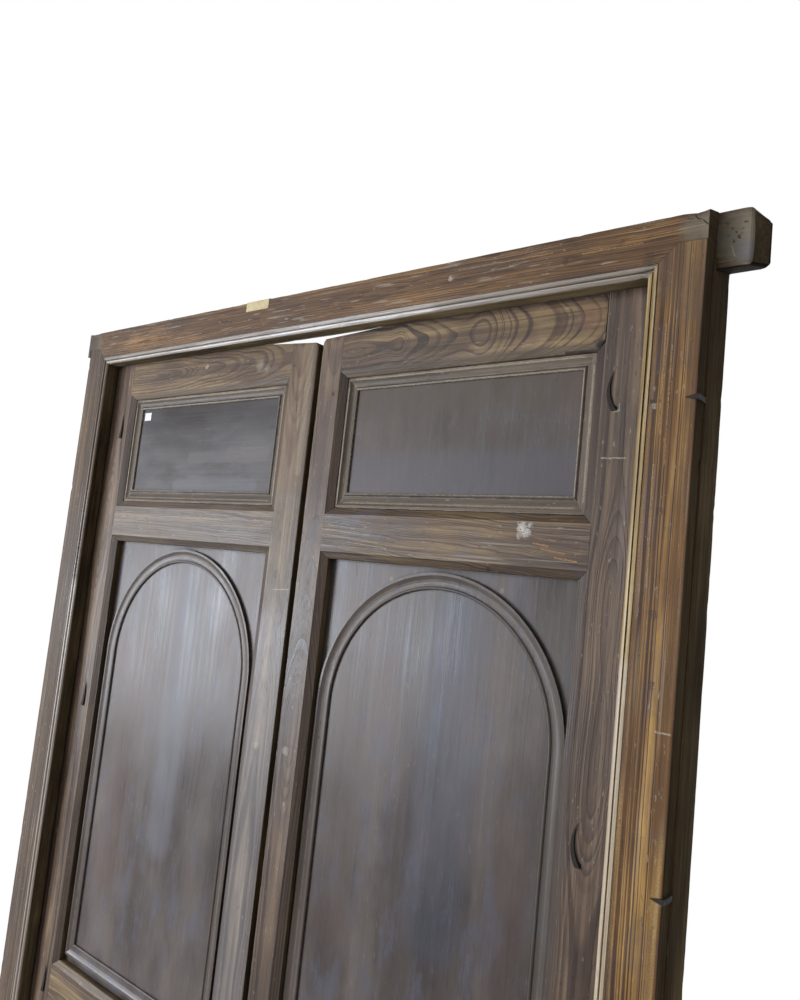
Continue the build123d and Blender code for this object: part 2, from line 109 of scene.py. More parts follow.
# Tones as screen colours; three together go from dark to light
LINTEL_TONES = ((46, 31, 22), (88, 62, 40), (160, 122, 78))
LINTEL_BEAD_TONES = ((92, 80, 70), (146, 134, 124), (206, 200, 198))
LEFT_JAMB_TONES = ((48, 37, 30), (78, 62, 50), (112, 92, 72))
RIGHT_JAMB_TONES = ((56, 37, 25), (106, 73, 38), (206, 164, 96))
RIGHT_BEAD_TONES = ((92, 72, 42), (150, 124, 74), (204, 184, 144))
RAIL_TONES = ((48, 37, 32), (90, 71, 56), (156, 132, 94))
STILE_TONES = ((50, 40, 35), (88, 71, 60), (138, 116, 92))
PANEL_TONES = ((48, 41, 39), (68, 59, 56), (92, 80, 74))
ARCH_TONES = ((52, 45, 43), (76, 67, 64), (102, 92, 88))
STRIP_TONES = ((52, 44, 38), (84, 73, 63), (126, 112, 96))
SIDE_TONES = ((52, 44, 34), (92, 79, 59), (142, 123, 93))
BACK_TONES = ((64, 52, 40), (104, 86, 65), (150, 128, 98))
OWN_TONES = {
    "left_meeting_stile": ((50, 40, 34), (90, 76, 64), (148, 130, 108)),
    "left_frieze_rail": ((66, 54, 46), (106, 91, 78), (164, 147, 126)),
    "left_upper_panel": ((44, 40, 40), (62, 58, 59), (88, 84, 84)),
}
WORN = (168, 156, 138)
CHIPPED = (34, 26, 22)
# The next three are painted shade: in hollows of the varnished wood, on faces underneath, and in hollows of
# the bare wood.
HOLLOW_SHADE = (26, 21, 18)
SHADED = (18, 15, 13)
BARE_HOLLOW_SHADE = (16, 13, 11)
BLACK = (20, 15, 12)
PALE = (188, 178, 156)
WHITE = (226, 222, 214)
BROWN = (52, 38, 30)
OCHRE = (172, 126, 74)

# Marks that the photo shows on a node: kind, numbers, tone and share.
# A spot has x, z and size. A stroke has x and z of its start and end, and size.
MARKS = {
    "lintel": (
        ("spot", (0.785, 2.21, 0.04), (150, 143, 126), 0.75),
        ("spot", (0.733, 2.218, 0.022), (118, 112, 98), 0.55),
        ("spot", (-0.73, 2.215, 0.03), (104, 96, 84), 0.5),
        ("spot", (0.544, 2.2025, 0.006), (46, 28, 20), 0.85),
        ("spot", (0.335, 2.21, 0.005), (204, 192, 170), 0.7),
        ("spot", (0.672, 2.186, 0.009), BROWN, 0.75),
        ("stroke", (0.7305, 2.2349, 0.7345, 2.2296, 0.0012), BLACK, 0.9),
        ("stroke", (0.7345, 2.2296, 0.7395, 2.2283, 0.001), BLACK, 0.85),
        ("stroke", (0.742, 2.2262, 0.7482, 2.2195, 0.0012), BLACK, 0.85),
        ("stroke", (0.719, 2.2325, 0.7275, 2.231, 0.0014), BROWN, 0.8),
        ("spot", (-0.752, 2.215, 0.036), (58, 50, 42), 0.7),
        ("spot", (-0.671, 2.2232, 0.008), BROWN, 0.7),
        ("spot", (-0.705, 2.226, 0.006), BROWN, 0.6),
        ("spot", (0.768, 2.223, 0.0026), BLACK, 0.85),
        ("spot", (0.779, 2.211, 0.003), BLACK, 0.8),
        ("spot", (0.786, 2.229, 0.0022), BLACK, 0.8),
        ("spot", (0.771, 2.205, 0.002), BLACK, 0.8),
        ("spot", (0.788, 2.19, 0.016), (112, 114, 122), 0.6),
        ("spot", (0.762, 2.232, 0.0024), BLACK, 0.8),
        ("spot", (0.774, 2.217, 0.0018), BLACK, 0.8),
        ("spot", (0.783, 2.22, 0.0026), BROWN, 0.8),
        ("spot", (0.765, 2.213, 0.002), BROWN, 0.8),
        ("stroke", (0.769, 2.199, 0.774, 2.184, 0.0009), PALE, 0.8),
        ("stroke", (0.4, 2.24, 0.74, 2.24, 0.006), BROWN, 0.65),
        ("stroke", (0.35, 2.2225, 0.52, 2.2205, 0.0012), (196, 160, 110), 0.4),
        ("stroke", (0.57, 2.2105, 0.66, 2.2095, 0.0012), (196, 160, 110), 0.4),
    ),
    "right_jamb": (
        ("stroke", (0.687, 2.13, 0.687, 0.2, 0.0045), (80, 60, 56), 0.65),
        ("stroke", (0.7, 2.19, 0.742, 2.13, 0.045), (88, 70, 58), 0.55),
        ("stroke", (0.742, 2.15, 0.742, 0.3, 0.008), (84, 64, 48), 0.4),
        ("spot", (0.712, 1.839, 0.006), BROWN, 0.8),
        ("spot", (0.713, 1.706, 0.007), BROWN, 0.85),
        ("spot", (0.717, 1.617, 0.006), BROWN, 0.85),
        ("stroke", (0.7263, 1.5624, 0.7453, 1.5624, 0.0012), PALE, 0.85),
        ("spot", (0.6906, 1.984, 0.0045), BLACK, 0.85),
        ("spot", (0.694, 1.979, 0.004), PALE, 0.6),
        ("stroke", (0.702, 2.09, 0.704, 1.94, 0.0012), (206, 168, 112), 0.35),
        ("stroke", (0.7125, 2.06, 0.713, 1.9, 0.001), (206, 168, 112), 0.35),
        ("stroke", (0.699, 1.9, 0.701, 1.74, 0.0014), (206, 168, 112), 0.35),
    ),
    "right_top_rail": (
        # The two thin black strokes paint a shadow line under the rail; the large black spot is a hole.
        ("stroke", (0.3, 2.0745, 0.594, 2.0755, 0.0014), BLACK, 0.75),
        ("spot", (0.594, 2.083, 0.01), BLACK, 0.95),
        ("stroke", (0.535, 2.0775, 0.592, 2.077, 0.0022), BLACK, 0.8),
        ("spot", (0.575, 2.128, 0.022), (140, 100, 74), 0.25),
    ),
    "right_frieze_rail": (
        ("spot", (0.49, 1.814, 0.0085), WHITE, 0.75),
        ("spot", (0.497, 1.806, 0.0075), WHITE, 0.65),
        ("spot", (0.486, 1.802, 0.006), PALE, 0.6),
        ("spot", (0.503, 1.818, 0.004), WHITE, 0.6),
        ("stroke", (0.482, 1.822, 0.484, 1.797, 0.0012), PALE, 0.6),
        ("stroke", (0.09, 1.803, 0.155, 1.799, 0.0009), PALE, 0.4),
        ("stroke", (0.085, 1.795, 0.19, 1.788, 0.0009), PALE, 0.4),
        ("stroke", (0.09, 1.786, 0.21, 1.776, 0.0009), PALE, 0.4),
        ("stroke", (0.14, 1.775, 0.23, 1.768, 0.0009), PALE, 0.35),
        ("stroke", (0.511, 1.7914, 0.535, 1.788, 0.0013), OCHRE, 0.8),
        ("stroke", (0.525, 1.783, 0.562, 1.7785, 0.0013), OCHRE, 0.75),
        ("stroke", (0.548, 1.772, 0.583, 1.768, 0.0013), OCHRE, 0.8),
        ("stroke", (0.513, 1.799, 0.548, 1.796, 0.001), OCHRE, 0.6),
        ("spot", (0.434, 1.748, 0.004), BLACK, 0.8),
    ),
    "right_hinge_stile": (
        ("stroke", (0.6076, 1.9168, 0.6434, 1.9162, 0.001), PALE, 0.8),
        ("stroke", (0.6225, 1.9835, 0.629, 1.9845, 0.0016), PALE, 0.8),
        ("stroke", (0.629, 1.985, 0.6285, 1.993, 0.001), PALE, 0.6),
    ),
    "left_meeting_stile": (
        ("stroke", (-0.03, 2.15, -0.03, 1.9, 0.04), (112, 82, 54), 0.35),
        # A pale grey wash down the lower stile paints a sheen.
        ("stroke", (-0.028, 1.6, -0.028, 0.1, 0.045), (176, 176, 184), 0.16),
        ("stroke", (-0.0293, 2.0319, -0.0287, 2.0172, 0.0013), BLACK, 0.9),
        ("spot", (-0.0485, 2.1084, 0.004), BLACK, 0.7),
        ("spot", (-0.068, 2.0742, 0.005), BLACK, 0.75),
        ("stroke", (-0.0338, 1.6765, 0.0064, 1.68, 0.001), PALE, 0.7),
        ("spot", (-0.0296, 1.3915, 0.007), PALE, 0.5),
        ("stroke", (-0.055, 2.14, -0.04, 2.03, 0.003), BROWN, 0.6),
        ("stroke", (-0.04, 2.13, -0.024, 1.98, 0.0025), BROWN, 0.5),
        ("stroke", (-0.006, 2.15, -0.006, 1.9, 0.008), PALE, 0.25),
        # A dark stroke on the stile's edge paints shade in the gap between the leaves.
        ("stroke", (0.0105, 2.16, 0.0115, 1.72, 0.0032), (34, 22, 16), 0.9),
    ),
    "left_top_rail": (
        ("spot", (-0.3242, 2.1306, 0.005), PALE, 0.75),
        ("spot", (-0.15, 2.118, 0.0115), PALE, 0.4),
        ("spot", (-0.128, 2.11, 0.008), PALE, 0.35),
        ("stroke", (-0.4182, 2.118, -0.2893, 2.0955, 0.005), BROWN, 0.45),
    ),
    "right_meeting_stile": (
        ("spot", (0.0646, 2.0453, 0.004), BLACK, 0.8),
        ("spot", (0.0472, 1.3965, 0.008), PALE, 0.5),
    ),
    "left_upper_panel": (
        ("stroke", (-0.52, 2.03, -0.1, 2.03, 0.03), (50, 44, 44), 0.4),
        ("stroke", (-0.51, 1.972, -0.33, 1.966, 0.012), (46, 38, 34), 0.4),
        ("stroke", (-0.51, 1.925, -0.42, 1.918, 0.009), (46, 38, 34), 0.5),
        ("stroke", (-0.48, 1.893, -0.37, 1.89, 0.007), (46, 38, 34), 0.45),
        # The two pale grey strokes paint a sheen across the panel.
        ("stroke", (-0.36, 1.935, -0.12, 1.94, 0.014), (112, 104, 102), 0.3),
        ("stroke", (-0.4, 1.875, -0.15, 1.875, 0.016), (104, 102, 110), 0.35),
    ),
    "left_arch_panel": (
        # The blue-grey stroke paints a reflection down the panel's middle.
        ("stroke", (-0.31, 1.66, -0.31, 1.15, 0.045), (112, 114, 124), 0.35),
        ("stroke", (-0.47, 1.5, -0.47, 1.05, 0.055), (88, 70, 60), 0.4),
        ("stroke", (-0.19, 1.45, -0.19, 1.1, 0.03), (84, 72, 66), 0.3),
    ),
    "right_upper_panel": (
        # The blue-grey stroke paints a reflection across the panel.
        ("stroke", (0.14, 1.895, 0.55, 1.895, 0.045), (78, 79, 90), 0.4),
        ("stroke", (0.14, 2.035, 0.55, 2.035, 0.04), (70, 58, 49), 0.4),
        ("spot", (0.5172, 2.0401, 0.0018), BLACK, 0.95),
    ),
    "right_arch_panel": (
        # The blue-grey stroke paints a reflection down the panel.
        ("stroke", (0.38, 1.66, 0.38, 1.2, 0.06), (76, 81, 97), 0.35),
        ("stroke", (0.17, 1.55, 0.17, 1.15, 0.05), (74, 60, 52), 0.35),
        ("stroke", (0.51, 1.45, 0.51, 1.15, 0.035), (72, 60, 54), 0.35),
        ("stroke", (0.57, 1.72, 0.57, 1.2, 0.03), (66, 62, 54), 0.4),
        ("spot", (0.1237, 1.5499, 0.0018), BLACK, 0.95),
        ("spot", (0.18, 1.5768, 0.0018), BLACK, 0.95),
        ("spot", (0.1871, 1.5693, 0.0016), BLACK, 0.95),
        ("spot", (0.1088, 1.4578, 0.0016), BLACK, 0.95),
        ("spot", (0.1107, 1.4306, 0.0016), BLACK, 0.95),
        ("spot", (0.233, 1.718, 0.004), PALE, 0.3),
        ("spot", (0.4529, 1.7174, 0.004), PALE, 0.3),
        ("stroke", (0.15, 1.743, 0.154, 1.717, 0.001), BLACK, 0.9),
    ),
}
# The lintel bead's marks darken its two ends, so that its pale middle stays as a painted highlight.
LINTEL_BEAD_MARKS = (
    ("stroke", (0.33, 2.166, 0.7, 2.166, 0.03), (112, 100, 84), 0.6),
    ("stroke", (-0.7, 2.166, -0.35, 2.166, 0.03), (120, 108, 94), 0.45),
)
# Bands round an arch: inner and outer distance from its radius, tone and share
ARCH_BANDS = (
    (-0.028, 0.0, (78, 66, 56), 0.5),
    (-0.0305, -0.0275, (30, 24, 20), 0.5),
    (-0.0005, 0.003, (30, 24, 20), 0.6),
    # This pale band paints a highlight on the arch moulding.
    (-0.014, -0.011, (150, 138, 122), 0.22),
)
# Lines on a moulding strip: distance from the panel's side, size, tone and share
STRIP_LINES = (
    (0.0012, 0.0011, PALE, 0.6),
    (0.0042, 0.0010, BLACK, 0.6),
    (0.0185, 0.0016, PALE, 0.45),
)

# Dents: place, radius and depth
LINTEL_DENTS = (
    ((0.733, -0.045, 2.236), 0.014, 0.0035),
    ((0.752, -0.030, 2.222), 0.016, 0.003),
    ((0.678, -0.043, 2.168), 0.012, 0.0022),
    ((0.664, -0.040, 2.161), 0.010, 0.0022),
    ((-0.735, -0.040, 2.236), 0.020, 0.0035),
    ((0.335, -0.045, 2.212), 0.010, 0.0015),
    ((0.806, -0.011, 2.245), 0.020, 0.004),
    ((0.797, -0.011, 2.172), 0.014, 0.003),
)
JAMB_DENTS = (
    ((0.690, -0.044, 2.146), 0.010, 0.002),
    ((0.750, -0.045, 2.03), 0.012, 0.0025),
    ((0.752, -0.020, 1.90), 0.014, 0.0025),
    ((-0.750, -0.045, 1.86), 0.012, 0.002),
)
RAIL_DENTS = {
    "right_top_rail": (
        ((0.594, -0.0106, 2.085), 0.013, 0.006),
        ((0.570, -0.009, 2.077), 0.012, 0.003),
    ),
}

# Rounded ends of the lintel: side, place along x and width of the rounding
LINTEL_ENDS = ((1, 0.79, 0.0075), (-1, 0.7605, 0.005))
# Places along x where a stile meets another board, so that its edge stays sharp
STILE_JOINTS = {"left": (-0.6005, -0.5845, -0.058, -0.074), "right": (0.6005, 0.5845, 0.077, 0.093)}
# Centre and outer radius of each arch
ARCHES = {"left": (-0.33325, 0.24425), "right": (0.33875, 0.24275)}

# Peaks of the growth rings: place along the board, height and width
STILE_PEAKS = {
    "left_hinge_stile": ((1.78, -0.025, 0.12),),
    "left_meeting_stile": ((1.75, 0.03, 0.3),),
    "right_hinge_stile": ((1.50, -0.030, 0.14), (1.72, -0.022, 0.09)),
    "right_meeting_stile": ((1.9, 0.03, 0.3), (1.45, -0.02, 0.12)),
}
PLAIN_RAIL_LOOK = {"rings": {"spacing": 0.0052, "depth": 0.02, "sway": 0.01, "sway_scale": 3.0}}
RAIL_LOOKS = {
    "left_top_rail": {
        "rings": {"spacing": 0.0046, "depth": 0.006, "sway": 0.005, "sway_scale": 9.0, "wobble": 0.005,
                  "slope": (-0.50, 0.12)},
        "tint": 0.4,
    },
    "left_frieze_rail": {
        "rings": {"spacing": 0.0052, "depth": 0.012, "sway": 0.007, "sway_scale": 5.0, "wobble": 0.007,
                  "tilt": 0.03},
        "tint": 0.3, "pale": 0.3,
    },
    "right_top_rail": {
        "rings": {"spacing": 0.0066, "depth": 0.003, "sway": 0.003, "sway_scale": 14.0, "wobble": 0.0035,
                  "slope": (0.125, 0.24), "peaks": ((0.213, -0.014, 0.018), (0.39, -0.020, 0.035)),
                  "late_start": 0.45},
        "contrast": 1.55, "stain": 0.25, "tint": 0.5,
    },
    "right_frieze_rail": {
        "rings": {"spacing": 0.0050, "depth": 0.010, "sway": 0.007, "sway_scale": 7.0, "wobble": 0.008,
                  "tilt": 0.06},
        "contrast": 1.2, "tint": 0.6, "tint_tone": (92, 88, 96), "pale": 0.4,
    },
}


def linear(rgb):
    """A colour written as screen values from 0 to 255, in the linear values that shaders take."""
    shares = [value / 255 for value in rgb]
    return (*(v / 12.92 if v <= 0.04045 else ((v + 0.055) / 1.055) ** 2.4 for v in shares), 1.0)


class Graph:
    """Builds the nodes of a material or a world. Each call returns the socket that carries its result."""

    def __init__(self, owner):
        self.owner = owner
        owner.use_nodes = True
        self.tree = owner.node_tree
        self.tree.nodes.clear()

    def put(self, socket, value):
        if isinstance(value, bpy.types.NodeSocket):
            self.tree.links.new(value, socket)
        elif value is not None:
            socket.default_value = value

    def node(self, kind, inputs=(), output=0, **settings):
        """Adds a node with values or sockets for its inputs, and returns one of its outputs."""
        n = self.tree.nodes.new(kind)
        for key, value in settings.items():
            setattr(n, key, value)
        for key, value in dict(inputs).items():
            self.put(n.inputs[key], value)
        return n.outputs[output]

    def math(self, operation, a, b=None, clamp=False):
        n = self.tree.nodes.new("ShaderNodeMath")
        n.operation = operation
        n.use_clamp = clamp
        for socket, value in zip(n.inputs, (a, b)):
            self.put(socket, value)
        return n.outputs[0]

    def add(self, a, b):
        return self.math("ADD", a, b)

    def less(self, a, b):
        return self.math("SUBTRACT", a, b)

    def mul(self, a, b):
        return self.math("MULTIPLY", a, b)

    def between(self, value, low, high):
        """Value from low to high becomes 0 to 1, smoothly and no further."""
        return self.node("ShaderNodeMapRange", {0: value, 1: low, 2: high}, interpolation_type="SMOOTHSTEP")

    def line(self, value, low, high, start=0.0, end=1.0):
        """Value from low to high becomes start to end, evenly and no further."""
        return self.node("ShaderNodeMapRange", {0: value, 1: low, 2: high, 3: start, 4: end})

    def coords(self, output):
        return self.node("ShaderNodeTexCoord", output=output)

    def vector(self, x, y, z):
        return self.node("ShaderNodeCombineXYZ", {0: x, 1: y, 2: z})

    def split(self, vector):
        n = self.tree.nodes.new("ShaderNodeSeparateXYZ")
        self.put(n.inputs[0], vector)
        return n.outputs

    def vectors(self, operation, a, b, output="Vector"):
        return self.node("ShaderNodeVectorMath", {0: a, 1: b}, output=output, operation=operation)

    def scaled(self, vector, factor):
        return self.node("ShaderNodeVectorMath", {0: vector, "Scale": factor}, operation="SCALE")

    def noise(self, vector, scale=1.0, detail=3.0, roughness=0.55, output="Fac"):
        return self.node("ShaderNodeTexNoise", {"Vector": vector, "Scale": scale, "Detail": detail,
                                                "Roughness": roughness}, output=output)

    def noise_1d(self, value, scale=1.0, detail=2.0):
        return self.node("ShaderNodeTexNoise", {"W": value, "Scale": scale, "Detail": detail},
                         noise_dimensions="1D")

    def stretched(self, place, lengthwise, crosswise, detail, roughness=0.55):
        """Noise drawn out along the board. Place is the way along, the way across and the depth."""
        along, across, depth = place
        x, y, z = self.mul(along, lengthwise), self.mul(across, crosswise), self.mul(depth, crosswise)
        return self.noise(self.vector(x, y, z), 1.0, detail, roughness)

    def mix(self, share, a, b):
        """Mixes two colours. Their sockets on this node are 6 and 7, and the result's is 2."""
        n = self.tree.nodes.new("ShaderNodeMix")
        n.data_type = "RGBA"
        n.clamp_factor = True
        self.put(n.inputs[0], share)
        self.put(n.inputs[6], a)
        self.put(n.inputs[7], b)
        return n.outputs[2]

    def tint(self, share, colour, tone):
        """Mixes a screen colour into a colour."""
        return self.mix(share, colour, linear(tone))

    def ramp(self, value, stops):
        n = self.tree.nodes.new("ShaderNodeValToRGB")
        self.put(n.inputs[0], value)
        elements = n.color_ramp.elements
        while len(elements) < len(stops):
            elements.new(0.5)
        for element, (place, colour) in zip(elements, stops):
            element.position = place
            element.color = colour
        return n.outputs[0]

    def attribute(self, name):
        return self.node("ShaderNodeAttribute", output="Fac", attribute_name=name)

    def openness(self, distance):
        """1 in the open and less in a hollow."""
        return self.node("ShaderNodeAmbientOcclusion", {"Distance": distance}, output="AO", samples=4)

    def end(self, kind, shader):
        self.put(self.tree.nodes.new(kind).inputs[0], shader)

    def arch_mask(self, x, z, flat, numbers):
        """1 on a band round an arch and down its legs, with breaks in it."""
        centre_x, spring, inner, outer = numbers
        aside = self.less(x, centre_x)
        above = self.math("MAXIMUM", self.less(z, spring), 0.0)
        reach = self.math("SQRT", self.add(self.mul(aside, aside), self.mul(above, above)))
        band = self.mul(self.between(reach, inner - BAND_EDGE, inner + BAND_EDGE),
                        self.between(reach, outer + BAND_EDGE, outer - BAND_EDGE))
        return self.mul(band, self.between(self.noise(flat, 60.0, 4.0, 0.6), 0.30, 0.55))

    def stroke_gap(self, place, numbers):
        """Distance from a straight stroke."""
        start_x, start_z, end_x, end_z = numbers
        run = Vector((end_x - start_x, 0.0, end_z - start_z))
        start = self.vectors("SUBTRACT", place, (start_x, 0.0, start_z))
        share = self.vectors("DOT_PRODUCT", start, run / run.length_squared, "Value")
        foot = self.scaled(run, self.math("MULTIPLY", share, 1.0, clamp=True))
        return self.vectors("DISTANCE", start, foot, "Value")

    def marked(self, x, z, colour, marks):
        """Adds spots, strokes and arches on front faces. Small marks break up into flecks, unless black."""
        flat = self.vector(x, 0.0, z)
        offset = self.vectors("SUBTRACT", self.noise(flat, 150.0, 5.0, 0.5, "Color"), (0.5, 0.5, 0.5))
        offset = self.scaled(offset, RAGGED)
        slightly_ragged = self.vectors("ADD", flat, self.scaled(offset, 0.25))
        ragged = self.vectors("ADD", flat, offset)
        fleck = self.between(self.noise(flat, 520.0, 4.0, 0.7), 0.40, 0.56)
        front = self.between(self.split(self.coords("Normal"))[1], 0.3, 0.1)
        for kind, numbers, tone, share in marks:
            if kind == "arch":
                mask = self.arch_mask(x, z, flat, numbers)
            else:
                *place, size = numbers
                if kind == "spot":
                    gap = self.vectors("DISTANCE", ragged, (place[0], 0.0, place[1]), "Value")
                else:
                    gap = self.stroke_gap(slightly_ragged, place)
                mask = self.between(gap, size * 1.3, size * 0.5)
                if size <= SMALL_MARK and tone != BLACK:
                    mask = self.mul(mask, fleck)
            colour = self.tint(self.mul(mask, self.mul(front, share)), colour, tone)
        return colour

    def finish(self, colour, roughness, height, strength, distance, **sockets):
        """Ends a material with one shader and a bump. Sockets are constants of the shader."""
        shader = self.tree.nodes.new("ShaderNodeBsdfPrincipled")
        self.put(shader.inputs["Base Color"], colour)
        self.put(shader.inputs["Roughness"], roughness)
        for key, value in sockets.items():
            shader.inputs[key.replace("_", " ")].default_value = value
        bump = self.node("ShaderNodeBump", {"Strength": strength, "Distance": distance, "Height": height})
        self.put(shader.inputs["Normal"], bump)
        self.end("ShaderNodeOutputMaterial", shader.outputs[0])
        return self.owner


def growth_rings(g, run, place, centre, spacing=0.0055, depth=0.05, sway=0.0, sway_scale=3.0, wobble=0.004,
                 tilt=0.0, slope=None, peaks=(), late_start=0.30):
    """Share of dark late wood, from rings round a pith that lies behind the face.

    The pith sways and leans along the board. Each peak has a place, a height and a width, and moves the pith
    from the face or towards it, which draws the ovals and flames.
    """
    shifted, across, y = place
    u = g.less(across, centre[0])
    v = g.less(y, centre[1])
    bend = g.less(g.stretched((shifted, u, v), *BENDS), 0.5)
    ripple = g.less(g.stretched((shifted, u, v), *RIPPLES), 0.5)
    u = g.add(g.add(u, g.mul(bend, wobble * 6)), g.mul(ripple, wobble * 1.5))
    if tilt:
        u = g.add(u, g.mul(shifted, tilt))
    rise = g.less(g.noise_1d(shifted, sway_scale, 1.5), 0.5)
    v = g.add(g.add(v, depth), g.mul(rise, sway * 2))
    if slope:
        v = g.add(v, g.mul(g.less(run, slope[0]), slope[1]))
    for peak, height, width in peaks:
        off = g.math("DIVIDE", g.less(run, peak), width)
        v = g.add(v, g.mul(g.math("EXPONENT", g.mul(g.mul(off, off), -1.0)), height))
    radius = g.math("SQRT", g.add(g.mul(u, u), g.mul(v, v)))
    radius = g.add(radius, g.mul(ripple, wobble * 0.6))
    uneven = g.mul(g.noise_1d(radius, 55.0, 2.0), 4.5)
    ring = g.math("FRACT", g.add(g.math("DIVIDE", radius, spacing), uneven))
    strong = g.line(g.noise_1d(g.add(radius, 3.0), 120.0, 1.0), 0.3, 0.7, 0.25, 1.25)
    return g.mul(g.mul(g.between(ring, late_start, 0.84), g.between(ring, 1.0, 0.9)), strong)


def rim_share(g, aged_rim):
    """1 on arrises: told by the mesh on an aged piece, and found by the shader on a CAD node."""
    if aged_rim:
        return g.between(g.attribute("rim"), 0.38, 0.9)
    near = g.node("ShaderNodeBevel", {"Radius": 0.004}, samples=4)
    flat = g.node("ShaderNodeNewGeometry", output="Normal")
    return g.between(g.less(1.0, g.vectors("DOT_PRODUCT", near, flat, "Value")), 0.02, 0.22)


def wood(name, along, tones, centre, seed=0.0, rings=None, contrast=1.0, ring_bump=0.5, fibre=0.35,
         streak=0.9, cloudy=0.9, stain=0.4, tint=0.35, tint_tone=(86, 72, 70), pale=0.16, pores=0.45,
         dash=3.5, flecks=0.4, wear=0.5, hollow_dirt_and_shade=0.75, aged_rim=False, chamfer_shade=0.0, chamfer_shade_tone=(42, 33, 28),
         marks=(), gloss=0.45, specular=0.22):
    """Old pine, with rings, fibres, smears, stains, pores, chips, worn arrises, painted shade and roughness
    in hollows, painted light and shade on chamfers, and marks.

    Centre is the place of the rings, across the board and in depth. The numbers from contrast to chamfer say
    how strong each layer is. Dash says how short the pores and scratches are, and gloss is a roughness.
    """
    g = Graph(bpy.data.materials.new(name))
    coords = g.coords("Object")
    x, y, z = g.split(coords)
    run, across = (x, z) if along == "x" else (z, x)
    place = (g.add(run, seed * SEED_STEP), across, y)
    fibres = g.stretched(place, *FIBRES)
    streaks = g.stretched(place, *STREAKS)
    scratch = g.stretched(place, dash, SCRATCH_ACROSS, 2.0, 0.5)
    blot = g.stretched(place, *BLOTS)
    cloud = g.stretched(place, *CLOUDS)
    chips = g.stretched(place, *CHIPS)
    spread = g.stretched(place, *STAINS)
    speck = g.noise(coords, 160.0, 2.0, 0.6)
    late = growth_rings(g, run, place, centre, **(rings or {}))
    late = g.mul(late, g.line(blot, 0.38, 0.62, 0.55, 1.1))

    dark, mid, light = (linear(t) for t in tones)
    tone = g.add(g.mul(late, -0.40 * contrast), 0.60)
    tone = g.add(tone, g.mul(g.less(fibres, 0.5), fibre))
    tone = g.add(tone, g.mul(g.less(streaks, 0.5), streak))
    tone = g.add(tone, g.mul(g.less(cloud, 0.5), cloudy))
    colour = g.ramp(tone, [(0.08, dark), (0.5, mid), (0.95, light)])
    colour = g.tint(g.mul(g.between(blot, 0.50, 0.66), tint), colour, tint_tone)
    colour = g.tint(g.mul(g.between(scratch, 0.60, 0.70), pale), colour, WORN)
    colour = g.mix(g.mul(g.between(scratch, 0.40, 0.31), pores), colour, dark)
    colour = g.tint(g.mul(g.between(chips, 0.655, 0.70), flecks), colour, WORN)
    colour = g.tint(g.mul(g.between(chips, 0.345, 0.30), flecks * 1.3), colour, CHIPPED)
    colour = g.mix(g.mul(g.between(spread, 0.5, 0.72), stain), colour, dark)

    hollow = g.openness(0.012)
    patchy = g.between(g.noise(coords, 30.0, 4.0, 0.65), 0.38, 0.62)
    worn_rim = g.mul(g.mul(rim_share(g, aged_rim), patchy), g.mul(g.between(hollow, 0.35, 0.8), wear))
    colour = g.tint(worn_rim, colour, WORN)
    # Painted shade: the colour darkens in hollows found by ambient occlusion, and the same mask makes them
    # rougher.
    dirt_and_shade = g.mul(g.between(hollow, 0.72, 0.22), hollow_dirt_and_shade)
    colour = g.tint(dirt_and_shade, colour, HOLLOW_SHADE)
    # Painted light and shade on chamfers: a tone laid on slanting front faces, in full where they face down
    # or sideways and less where they face up.
    if aged_rim and chamfer_shade:
        colour = g.tint(g.mul(g.attribute("chamfer_shade"), chamfer_shade), colour, chamfer_shade_tone)
    if marks:
        colour = g.marked(x, z, colour, marks)

    rough = g.add(g.line(cloud, 0.3, 0.7, gloss - 0.08, gloss + 0.1), g.mul(late, -0.06))
    rough = g.math("MINIMUM", g.add(rough, g.mul(dirt_and_shade, 0.3)), 1.0)
    height = g.add(g.mul(late, ring_bump), g.mul(fibres, min(0.5, ring_bump * 3)))
    height = g.add(height, g.mul(streaks, 0.6))
    height = g.add(height, g.mul(g.between(chips, 0.40, 0.30), -0.8 * flecks))
    height = g.add(height, g.mul(speck, 0.12))
    return g.finish(colour, rough, height, strength=0.55, distance=0.0008, Specular_IOR_Level=specular)


def bare(name, along, seed):
    """Rough unvarnished wood of the outer sides, the joints and the back: matt, dark and furred, with painted
    shade on faces underneath and in hollows.
    """
    g = Graph(bpy.data.materials.new(name))
    x, y, z = g.split(g.coords("Object"))
    run, across = (x, z) if along == "x" else (z, x)
    place = (g.add(run, seed * BARE_SEED_STEP), across, y)
    fibres = g.stretched(place, *BARE_FIBRES)
    cloud = g.stretched(place, *BARE_CLOUDS)
    tone = g.add(g.mul(fibres, 0.55), g.mul(cloud, 0.75))
    side, back = (g.ramp(tone, [(0.45, linear(dark)), (0.66, linear(mid)), (0.9, linear(light))])
                  for dark, mid, light in (SIDE_TONES, BACK_TONES))
    colour = g.mix(g.attribute("behind"), side, back)
    colour = g.tint(g.mul(g.attribute("below"), 0.9), colour, SHADED)
    # Painted shade in hollows found by ambient occlusion.
    colour = g.tint(g.mul(g.between(g.openness(0.02), 0.8, 0.25), 0.5), colour, BARE_HOLLOW_SHADE)
    height = g.add(fibres, g.mul(cloud, 0.6))
    rough = g.line(fibres, 0.3, 0.7, 0.92, 1.0)
    return g.finish(colour, rough, height, strength=0.7, distance=0.0012, Specular_IOR_Level=0.06)


